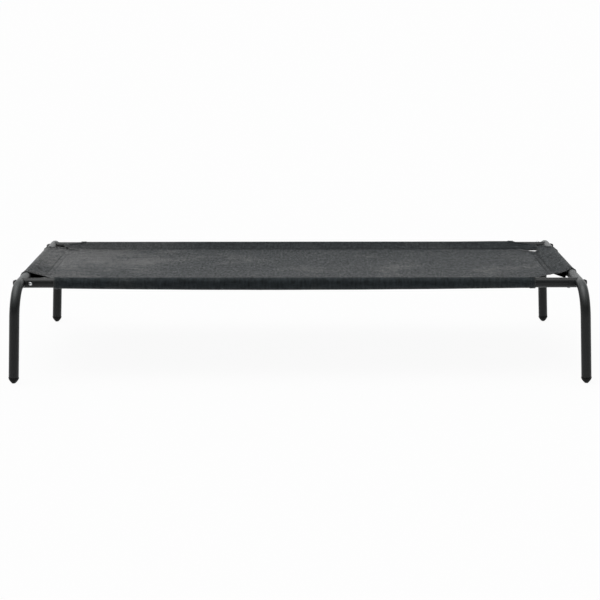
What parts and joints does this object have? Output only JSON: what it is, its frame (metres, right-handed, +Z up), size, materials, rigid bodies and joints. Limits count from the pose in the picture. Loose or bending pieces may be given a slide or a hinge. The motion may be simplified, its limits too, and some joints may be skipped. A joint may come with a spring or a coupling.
{
  "type": "raised dog bed",
  "caption": "Raised rectangular dog bed: a woven mesh panel sewn into sleeves on a bolted frame of bent round tube with four legs.",
  "frame": {"origin": "On the floor, in the middle of the four feet", "axes": "+X along the length of the bed, +Y to the rear, +Z up"},
  "size_m": [1.1, 0.6018, 0.1912],
  "materials": {
    "frame_steel": "satin black powder coat",
    "foot_plastic": "moulded, fine matt texture",
    "bolt_steel": "black oxide, slightly oiled",
    "washer_plastic": "moulded, matt",
    "insert_steel": "bright zinc plate",
    "rivet_steel": "bright, dome formed",
    "mesh_fabric": "woven coated polyester mesh, charcoal"
  },
  "bodies": {
    "root": {"left_end_frame": "frame_steel", "right_end_frame": "frame_steel", "front_rail": "frame_steel", "rear_rail": "frame_steel", "foot_cap_front_left": "foot_plastic", "foot_cap_front_right": "foot_plastic", "foot_cap_rear_left": "foot_plastic", "foot_cap_rear_right": "foot_plastic", "frame_bolt_front_left": "bolt_steel", "frame_bolt_front_right": "bolt_steel", "frame_bolt_rear_left": "bolt_steel", "frame_bolt_rear_right": "bolt_steel", "saddle_washer_front_left": "washer_plastic", "saddle_washer_front_right": "washer_plastic", "saddle_washer_rear_left": "washer_plastic", "saddle_washer_rear_right": "washer_plastic", "rail_insert_front_left": "insert_steel", "rail_insert_front_right": "insert_steel", "rail_insert_rear_left": "insert_steel", "rail_insert_rear_right": "insert_steel", "rail_rivet_front_left": "rivet_steel", "rail_rivet_front_right": "rivet_steel", "rail_rivet_rear_left": "rivet_steel", "rail_rivet_rear_right": "rivet_steel", "cover_panel": "mesh_fabric", "front_sleeve": "mesh_fabric", "rear_sleeve": "mesh_fabric", "left_sleeve": "mesh_fabric", "right_sleeve": "mesh_fabric"}
  },
  "joints": []
}
